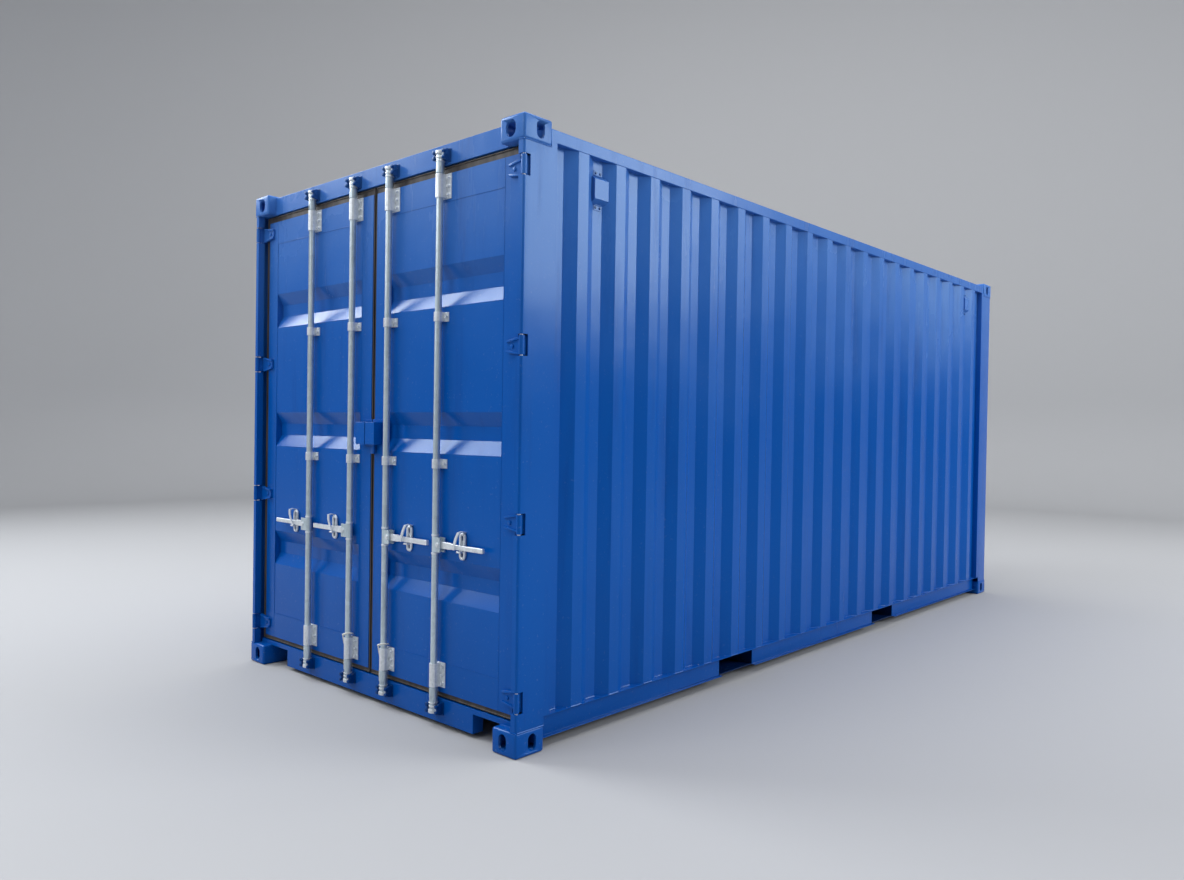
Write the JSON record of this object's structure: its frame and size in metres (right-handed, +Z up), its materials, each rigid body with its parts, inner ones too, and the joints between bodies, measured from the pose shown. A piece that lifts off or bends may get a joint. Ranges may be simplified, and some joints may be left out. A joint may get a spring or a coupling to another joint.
{
  "type": "shipping container",
  "caption": "Steel box container with folded walls, hinged double doors held by locking bars, corner fittings and fork pockets.",
  "frame": {"origin": "on the ground, below the middle of the container", "axes": "-Y is the door end, +X is the right-hand side seen from outside the doors, +Z is up"},
  "size_m": [2.438, 6.0582, 2.896],
  "materials": {
    "frame_paint": "satin",
    "wall_paint": "satin",
    "roof_paint": "satin",
    "door_paint": "satin",
    "vent_paint": "satin",
    "seal_rubber": "matte",
    "rope": "matte",
    "bar_steel": "galvanised, dull",
    "galvanised_steel": "galvanised, bright",
    "plywood": "varnished, scuffed",
    "pin_steel": "plain"
  },
  "bodies": {
    "container": {"bottom_fittings_door_end": "frame_paint", "bottom_fittings_front_end": "frame_paint", "bottom_rail_left": "frame_paint", "bottom_rail_right": "frame_paint", "cross_members": "frame_paint", "door_header": "frame_paint", "door_sill": "frame_paint", "floor_centre_strip": "plywood", "floor_panels": "plywood", "fork_pockets": "frame_paint", "front_bottom_rail": "frame_paint", "front_post_left": "frame_paint", "front_post_right": "frame_paint", "front_top_rail": "frame_paint", "front_wall": "wall_paint", "hinge_pins": "pin_steel", "keepers": "frame_paint", "rear_post_left": "frame_paint", "rear_post_right": "frame_paint", "roof": "roof_paint", "side_wall_left": "wall_paint", "side_wall_right": "wall_paint", "top_fittings_door_end": "frame_paint", "top_fittings_front_end": "frame_paint", "top_rail_left": "frame_paint", "top_rail_right": "frame_paint", "ventilators": "vent_paint"},
    "door_right": {"bar_guides_right": "galvanised_steel", "door_frame_right": "door_paint", "door_gasket_right": "seal_rubber", "door_panel_right": "door_paint", "handle_catches_right": "galvanised_steel", "hinge_blades_right": "frame_paint", "lock_box_right": "door_paint", "tie_rope_right": "rope"},
    "door_left": {"bar_guides_left": "galvanised_steel", "door_frame_left": "door_paint", "door_gasket_left": "seal_rubber", "door_panel_left": "door_paint", "handle_catches_left": "galvanised_steel", "hinge_blades_left": "frame_paint", "lock_box_left": "door_paint", "tie_rope_left": "rope"},
    "handle_left_inner_lever": {"handle_left_inner": "galvanised_steel"},
    "handle_left_outer_lever": {"handle_left_outer": "galvanised_steel"},
    "handle_right_inner_lever": {"handle_right_inner": "galvanised_steel"},
    "handle_right_outer_lever": {"handle_right_outer": "galvanised_steel"},
    "bar_left_inner": {"locking_bar_left_inner": "bar_steel"},
    "bar_left_outer": {"locking_bar_left_outer": "bar_steel"},
    "bar_right_inner": {"locking_bar_right_inner": "bar_steel"},
    "bar_right_outer": {"locking_bar_right_outer": "bar_steel"}
  },
  "joints": [
    {"name": "door_right_hinge", "type": "hinge", "parent": "container", "child": "door_right", "pos_m": [1.203, -3.013, 1.4585], "axis": [0, 0, 1], "range_deg": [0, 260]},
    {"name": "bar_right_inner_turn", "type": "hinge", "parent": "door_right", "child": "bar_right_inner", "pos_m": [0.168, -3.002, 0.908], "axis": [0, 0, 1], "range_deg": [-100, 0]},
    {"name": "handle_right_inner_lift", "type": "hinge", "parent": "bar_right_inner", "child": "handle_right_inner_lever", "pos_m": [0.207, -3.002, 0.908], "axis": [0, -1, 0], "range_deg": [0, 15]},
    {"name": "bar_right_outer_turn", "type": "hinge", "parent": "door_right", "child": "bar_right_outer", "pos_m": [0.592, -3.002, 0.908], "axis": [0, 0, 1], "range_deg": [-100, 0]},
    {"name": "handle_right_outer_lift", "type": "hinge", "parent": "bar_right_outer", "child": "handle_right_outer_lever", "pos_m": [0.631, -3.002, 0.908], "axis": [0, -1, 0], "range_deg": [0, 15]},
    {"name": "door_left_hinge", "type": "hinge", "parent": "container", "child": "door_left", "pos_m": [-1.203, -3.013, 1.4585], "axis": [0, 0, -1], "range_deg": [0, 260]},
    {"name": "bar_left_inner_turn", "type": "hinge", "parent": "door_left", "child": "bar_left_inner", "pos_m": [-0.168, -3.002, 0.908], "axis": [0, 0, -1], "range_deg": [-100, 0]},
    {"name": "handle_left_inner_lift", "type": "hinge", "parent": "bar_left_inner", "child": "handle_left_inner_lever", "pos_m": [-0.207, -3.002, 0.908], "axis": [0, 1, 0], "range_deg": [0, 15]},
    {"name": "bar_left_outer_turn", "type": "hinge", "parent": "door_left", "child": "bar_left_outer", "pos_m": [-0.592, -3.002, 0.908], "axis": [0, 0, -1], "range_deg": [-100, 0]},
    {"name": "handle_left_outer_lift", "type": "hinge", "parent": "bar_left_outer", "child": "handle_left_outer_lever", "pos_m": [-0.631, -3.002, 0.908], "axis": [0, 1, 0], "range_deg": [0, 15]}
  ]
}
